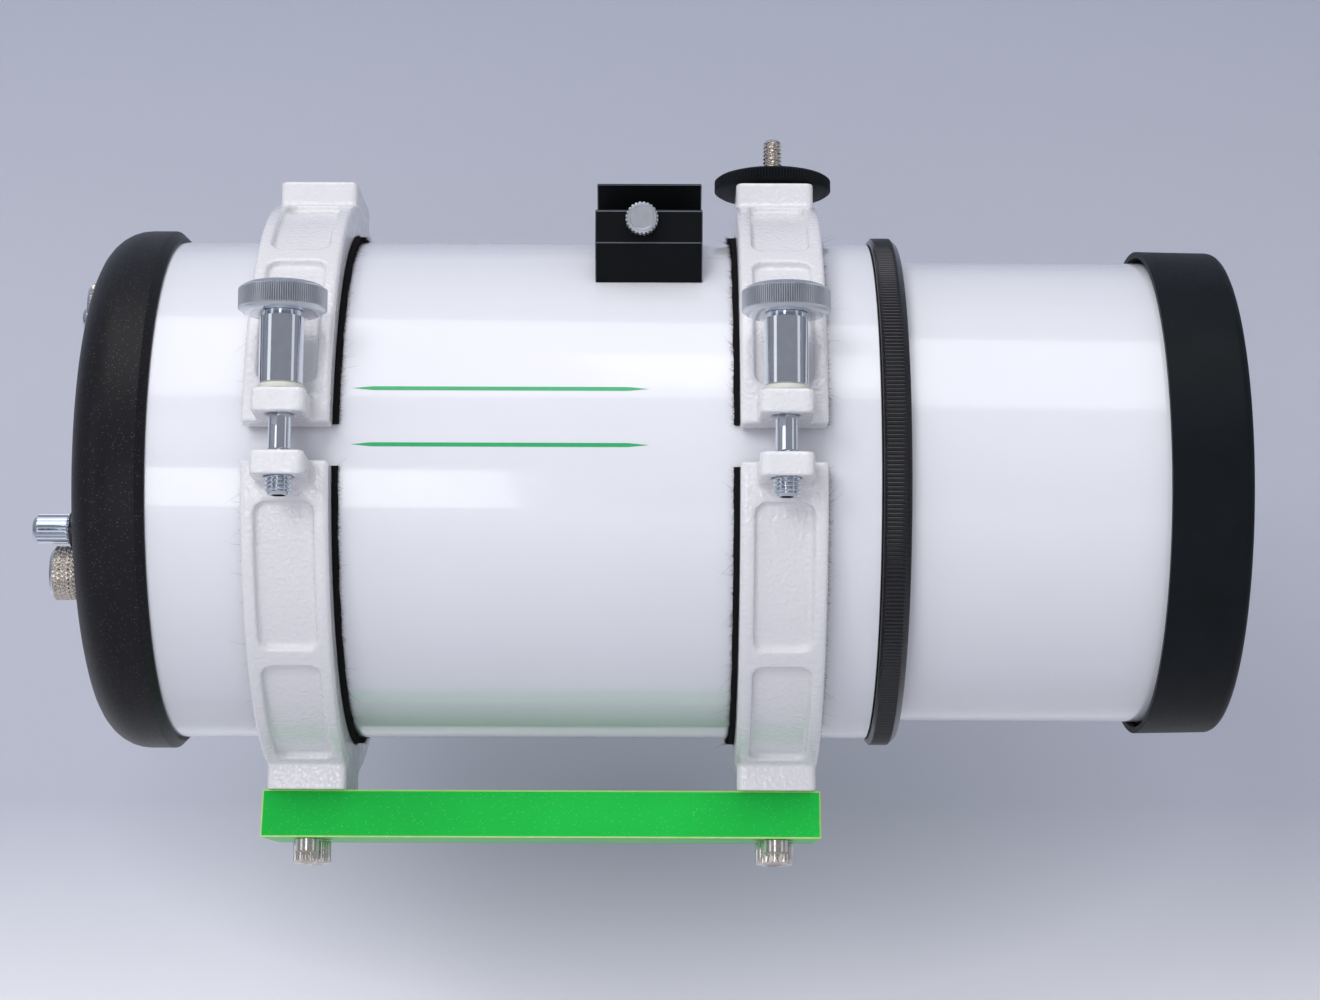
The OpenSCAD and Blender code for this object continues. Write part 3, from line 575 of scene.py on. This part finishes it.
def accessoryDisc():
    low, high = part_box("accessory_lock_disc")
    height, outer = (high.z - low.z) / mm, (high.x - low.x) / 2 / mm
    base = outer - lockDisc["ribDepth"]
    grip = ribs(outer, lockDisc["ribDepth"], lockDisc["ribs"])
    bore, hub, rise = lockDisc["bore"], lockDisc["hub"], lockDisc["hubHeight"]
    rows = [(0, bore), (0, hub - 0.2), (0.2, hub), (rise, hub), (rise, base - 1.2), (rise + 0.2, base - 0.6),
            (rise + 0.6, base), (rise + 0.8, grip)]
    rows += [(h, grip) for h in steps(2.2, height - 0.9, 3)]
    rows += [(height - 0.6, base), (height - 0.2, base - 0.6), (height, base - 1.2), (height, 12),
             (height - 0.4, 11.6), (height - 0.4, 6), (height, 5.6), (height, bore), (0, bore)]
    place = axisFrame(((low.x + high.x) / 2, 0, low.z), (0, 0, 1))
    disc = turned("lockDisc", rows, lockDisc["ribs"] * 5, finishes["cap"], place)
    standIn(disc, "accessory_lock_disc")


accessoryStud()
accessoryDisc()
print("accessory stud made")


# screws under the bar
locatingScrew = {"ribs": 20, "ribDepth": 0.45, "key": 2.0, "head": 3.8, "shank": 2.5, "collar": 3.6}
barBolt = {"ribs": 36, "ribDepth": 0.3, "key": 3.0, "head": 6.0, "shank": 4.0, "collar": 7.4}


def barFasteners(node, spots, k):
    # heads under the bar, plain shanks inside
    low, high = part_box(node)
    headRadius, shank, collar = k["head"], k["shank"], k["collar"]
    headHeight = -low.z / mm
    length = (high.z - low.z) / mm
    grip = ribs(headRadius, k["ribDepth"], k["ribs"])
    base = headRadius - k["ribDepth"]
    rows = [(3, 0.01), (3, hexagon(k["key"])), (0, hexagon(k["key"])), (0, base - 0.5), (0.3, base)]
    rows += [(h, grip) for h in steps(0.55, collar - 0.5, 3)]
    rows += [(collar - 0.25, base), (collar, base - 0.15), (collar + 0.15, headRadius - 0.1),
             (headHeight - 0.2, headRadius - 0.1), (headHeight, headRadius - 0.3), (headHeight, shank),
             (length, shank), (length, 0.01)]
    made = [turned(f"{node}.{i}", rows, k["ribs"] * 6, finishes["steel"],
                   axisFrame((x, y, low.z), (0, 0, 1))) for i, (x, y) in enumerate(spots)]
    for obj in made:
        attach(obj, "base")
    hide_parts(node)


ringXs = [(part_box(n)[0].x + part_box(n)[1].x) / 2 for n in ("rear_ring_lower", "front_ring_lower")]
locatingBox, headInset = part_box("bar_locating_screws"), locatingScrew["head"] * mm
locatingYs = [locatingBox[0].y + headInset, locatingBox[1].y - headInset]
barFasteners("bar_bolts", [(x, 0) for x in ringXs], barBolt)
barFasteners("bar_locating_screws", [(x, y) for x in ringXs for y in locatingYs], locatingScrew)
print("bar screws made")


# knobs behind the rear cell
collimation = {"radius": 8.3, "count": 34, "depth": 0.5, "lead": 2.8, "bevel": 1.0, "bright": 0.95,
               "shank": 3}
lockScrew = {"radius": 4.5, "ribs": 22, "ribDepth": 0.75, "collarLow": 11.4, "collarHigh": 13.7,
             "shank": 2.5}


def collimationKnob(i):
    node = f"collimation_knob_{i}"
    low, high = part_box(node)
    _, y, z = jointOf(f"knob_{i}_turn")["pos_m"]
    length = (high.x - low.x) / mm
    place = axisFrame((low.x, y, z), (1, 0, 0))
    c = collimation
    outer, shank = c["radius"], c["shank"]
    grip = diamonds(outer, c["depth"], c["count"], c["lead"])
    base = outer - c["depth"]
    rows = [(0.5, 0.01), (0.5, 4.6), (0, 5.0), (0, outer - c["bevel"] - 0.2), (0.9, base - 0.05)]
    rows += [(h, grip) for h in steps(1.0, 8.4, 37)]
    rows += [(8.5, base), (8.7, base - 0.3), (8.7, shank), (length, shank), (length, 0.01)]
    knob = turned(f"collimationKnob.{i}", rows, c["count"] * 5, finishes["nickel"], place)
    knob.data.materials.append(finishes["chrome"])
    for face in knob.data.polygons:  # the free end is turned bright after the knurl
        if (place.inverted() @ face.center).z / mm < c["bright"]:
            face.material_index = 1
    standIn(knob, node)


def lockingScrew(i):
    node = f"lock_screw_{i}"
    low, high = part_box(node)
    _, y, z = jointOf(f"lock_{i}_turn")["pos_m"]
    length = (high.x - low.x) / mm
    outer, shank = lockScrew["radius"], lockScrew["shank"]
    start, end = lockScrew["collarLow"], lockScrew["collarHigh"]
    place = axisFrame((low.x, y, z), (1, 0, 0))
    flute = ribs(outer, lockScrew["ribDepth"], lockScrew["ribs"])
    rows = [(0, 0.01), (0, outer - 1.5), (0.3, outer - 1.0), (1.3, outer - 0.45), (1.5, flute)]
    rows += [(h, flute) for h in steps(1.8, 10.6, 3)]
    rows += [(start - 0.5, outer - 0.6), (start - 0.1, outer - 1.0), (start, outer - 1.0)]
    rows += [(start, outer + 0.8), (start + 0.4, outer + 1.1), (end - 0.2, outer + 1.1), (end, outer + 0.8)]
    rows += [(end, shank), (length, shank), (length, 0.01)]
    screw = turned(f"lockScrew.{i}", rows, lockScrew["ribs"] * 6, finishes["chrome"], place)
    screw.data.materials.append(finishes["knurl"])
    for face in screw.data.polygons:  # the collar against the cell is black
        if start + 0.05 < (place.inverted() @ face.center).z / mm < end + 0.05:
            face.material_index = 1
    standIn(screw, node)


for i in (1, 2, 3):
    collimationKnob(i)
    lockingScrew(i)
print("collimation knobs made")


# thumbscrew of the finder shoe
shoeScrew = {"radius": 5, "ribs": 24, "ribDepth": 0.4}


def shoeThumbscrew():
    joint = jointOf("shoe_screw_turn")
    place = axisFrame(joint["pos_m"], joint["axis"])
    flute = ribs(shoeScrew["radius"], shoeScrew["ribDepth"], shoeScrew["ribs"])
    rows = [(-7, 0.01), (-7, 2.1), (-6.6, 2.5), (1.2, 2.5), (1.2, 3.4), (1.6, 4.2), (2.1, 4.6), (2.3, flute)]
    rows += [(h, flute) for h in steps(2.6, 5.6, 3)]
    rows += [(5.8, 4.65), (6.2, 4.6), (6.5, 4.4), (6.7, 4.1), (6.7, 3.8), (6.35, 3.5), (6.35, 0.01)]
    screw = turned("shoeThumbscrew", rows, shoeScrew["ribs"] * 6, finishes["zinc"], place, 25)
    standIn(screw, "shoe_clamp_screw")


shoeThumbscrew()


# knurled ring behind the dew shield
knurledRing = {"ribs": 390, "ribDepth": 0.40}


def ribbedRing():
    low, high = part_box("knurled_ring")
    width, outer = (high.x - low.x) / mm, (high.z - low.z) / 2 / mm
    bore = (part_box("dew_shield")[1].z - axisZ) / mm + 0.03
    k = knurledRing
    base = outer - k["ribDepth"]
    grip = ribs(outer, k["ribDepth"], k["ribs"])
    rows = [(0, bore), (0, base - 1.2), (0.3, base - 0.5), (0.9, base), (1.1, grip)]
    rows += [(h, grip) for h in steps(1.4, width - 2.0, 4)]
    rows += [(width - 1.7, base), (width - 0.3, base - 1.2), (width, base - 1.6), (width, bore), (0, bore)]
    place = axisFrame((low.x, 0, axisZ), (1, 0, 0))
    standIn(turned("knurledRing", rows, k["ribs"] * 4, finishes["knurl"], place), "knurled_ring")


ribbedRing()
print("knurled ring made")


# two tapered accent lines on the tube
accent = {"color": (0.020, 0.42, 0.14), "from": -0.0555, "to": 0.0336, "heights": (0.01845, 0.0010),
          "width": 1.25, "taper": 14, "proud": 0.03, "parts": 90}


def accentFinish():
    f = Finish("accentGreen", accent["color"], 0.3, Coat_Weight=0.4)
    f.color(f.mix(f.noise(3, detail=3), shade(accent["color"], 0.9), shade(accent["color"], 1.1)))
    return f.material


def accentLine(index, height):
    radius = (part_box("main_tube")[1].z - axisZ) + accent["proud"] * mm
    count = accent["parts"]
    verts, faces = [], []
    for i in range(count + 1):
        t = i / count
        taper = min(1, accent["taper"] * t, accent["taper"] * (1 - t)) * accent["width"] * mm / 2
        for h in (height - taper, height + taper):
            verts.append((accent["from"] + (accent["to"] - accent["from"]) * t,
                          -math.sqrt(radius * radius - h * h), axisZ + h))
    for i in range(count):
        a = 2 * i
        faces.append((a, a + 2, a + 3, a + 1))
    line = newMesh(f"accentLine.{index}", verts, faces, accentGreen)
    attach(line, "tube")


accentGreen = accentFinish()
for index, height in enumerate(accent["heights"]):
    accentLine(index, height)
print("accent lines made")


# camera, stage and light
camera = {"place": (0.0375, -0.9326, -0.0372), "rise": 8.974, "roll": -0.19, "yaw": 0.011, "lens": 79.29}


def setCamera():
    data = bpy.data.cameras.new("camera")
    data.lens = camera["lens"]
    data.sensor_width = 36
    data.clip_start, data.clip_end = 0.01, 50
    obj = bpy.data.objects.new("camera", data)
    obj.location = camera["place"]
    obj.rotation_euler = [math.radians(a) for a in (90 + camera["rise"], camera["roll"], camera["yaw"])]
    bpy.context.scene.collection.objects.link(obj)
    bpy.context.scene.camera = obj


# the bright foot tone is painted light at the bottom of the card; the oval's dim strength and shade tone make a
# painted shadow behind the bar
stage = {"foot": (0.96, 0.97, 1.0), "low": (0.54, 0.56, 0.64), "high": (0.38, 0.41, 0.50), "size": 3.0,
         "paintedShadowX": 0.03, "paintedShadowZ": 0.03, "paintedShadowWide": 0.24, "paintedShadowHigh": 0.09, "dim": 0.76,
         "shade": (0.17, 0.21, 0.22),
         "floor": (0.72, 0.72, 0.74), "wallY": 0.33, "floorZ": -0.42}


def paper():
    # pale graduated card that shows its front only, with a painted light band at its foot and a painted shadow
    # oval behind the bar
    f = Finish("paleCard", stage["low"], 0.75, Specular_IOR_Level=0.2)
    parts = f.add("ShaderNodeSeparateXYZ", Vector=f.place)
    height = f.ramp(parts.outputs["Z"], 0.22, 0.45)
    tone = f.mix(height, (*stage["low"], 1), (*stage["high"], 1))
    # painted light: a near-white band at the foot of the card, brighter than the card's own tone
    tone = f.mix(f.ramp(parts.outputs["Z"], 0.03, -0.07), tone, (*stage["foot"], 1))
    tone = f.mix(f.ramp(parts.outputs["Z"], -0.10, -0.20), tone, (*stage["floor"], 1))
    # painted shadow: a dark oval behind and below the tube and bar, where the object's shadow falls
    x, wide, z, high = stage["paintedShadowX"], stage["paintedShadowWide"], stage["paintedShadowZ"], stage["paintedShadowHigh"]
    across = f.math("POWER", f.ramp(parts.outputs["X"], x - wide, x + wide, -1, 1), 2)
    up = f.math("POWER", f.ramp(parts.outputs["Z"], z - high, z + high, -1, 1), 2)
    away = f.math("POWER", f.math("ADD", across, up), 0.5)
    tone = f.mix(f.ramp(away, 1.0, 0.0, 0.0, stage["dim"]), tone, (*stage["shade"], 1))
    cloud = f.noise(500, detail=2)
    f.color(f.mix(f.math("MULTIPLY", cloud, 0.2), tone, (*stage["low"], 1)))
    f.bump(f.noise(1.0, detail=3), 0.02)
    clear = f.add("ShaderNodeBsdfTransparent")
    facing = f.add("ShaderNodeNewGeometry").outputs["Backfacing"]
    mixer = f.tree.nodes.new("ShaderNodeMixShader")
    f.tree.links.new(facing, mixer.inputs[0])
    f.tree.links.new(f.shader.outputs[0], mixer.inputs[1])
    f.tree.links.new(clear.outputs[0], mixer.inputs[2])
    f.tree.links.new(mixer.outputs[0], f.tree.nodes["Material Output"].inputs["Surface"])
    return f.material


def setStage():
    finish = paper()
    s, floorZ = stage["size"], stage["floorZ"]
    floor = newMesh("floor", [(-s, -s, floorZ), (s, -s, floorZ), (s, stage["wallY"], floorZ),
                              (-s, stage["wallY"], floorZ)], [(0, 1, 2, 3)], finish)
    wall = newMesh("wall", [(-s, stage["wallY"], -s), (s, stage["wallY"], -s), (s, stage["wallY"], s),
                            (-s, stage["wallY"], s)], [(0, 1, 2, 3)], finish)


def areaLight(name, place, size, power, color, mirrored):
    data = bpy.data.lights.new(name, "AREA")
    data.shape = "RECTANGLE"
    data.size, data.size_y = size
    data.energy = power
    data.color = color
    obj = bpy.data.objects.new(name, data)
    obj.location = place
    obj.rotation_euler = (Vector((0, 0, axisZ)) - Vector(place)).to_track_quat("-Z", "Y").to_euler()
    obj.visible_glossy = mirrored
    bpy.context.scene.collection.objects.link(obj)


lights = [  # name, place, size, power, colour, seen in reflections
    ("key", (-0.45, -1.60, 0.52), (0.60, 0.50), 8.6, (1, 0.99, 1), False),
    ("fill", (0.10, -1.70, -0.55), (2.00, 1.20), 4.2, (0.99, 0.98, 1), False),
    ("underFill", (0.05, -0.55, -1.20), (1.60, 0.90), 2.6, (0.99, 0.98, 1), False),
    ("frontWindow", (-0.26, -1.66, -0.14), (0.34, 0.49), 1.6, (1, 1, 1), True),
    ("overheadStrip", (0.10, -1.10, 1.24), (0.24, 0.46), 0.4, (1, 0.99, 1), True),
    ("ceiling", (-0.30, -1.30, 1.90), (2.40, 1.60), 19, (0.99, 0.98, 1), True),
    ("leftBoard", (-1.40, -0.90, 0.11), (0.50, 1.40), 1.8, (0.98, 0.99, 1), True),
    ("rightBoard", (1.40, -0.70, 0.11), (0.40, 1.40), 1.0, (0.98, 0.99, 1), True),
]


def setWorld():
    # dim near the floor, brighter overhead
    world = bpy.data.worlds.new("studio")
    world.use_nodes = True
    tree = world.node_tree
    place = tree.nodes.new("ShaderNodeTexCoord")
    parts = tree.nodes.new("ShaderNodeSeparateXYZ")
    ramp = tree.nodes.new("ShaderNodeValToRGB")
    ramp.color_ramp.elements[0].position, ramp.color_ramp.elements[0].color = 0.30, (0.15, 0.165, 0.19, 1)
    ramp.color_ramp.elements[1].position, ramp.color_ramp.elements[1].color = 0.70, (0.36, 0.37, 0.41, 1)
    shift = tree.nodes.new("ShaderNodeMapRange")
    shift.inputs["From Min"].default_value = -1
    tree.links.new(place.outputs["Generated"], parts.inputs["Vector"])
    tree.links.new(parts.outputs["Z"], shift.inputs["Value"])
    tree.links.new(shift.outputs["Result"], ramp.inputs["Fac"])
    tree.links.new(ramp.outputs["Color"], tree.nodes["Background"].inputs["Color"])
    bpy.context.scene.world = world


setCamera()
setStage()
setWorld()
for light in lights:
    areaLight(*light)
bpy.context.scene.view_settings.view_transform = "Standard"
print("camera, stage and light set")
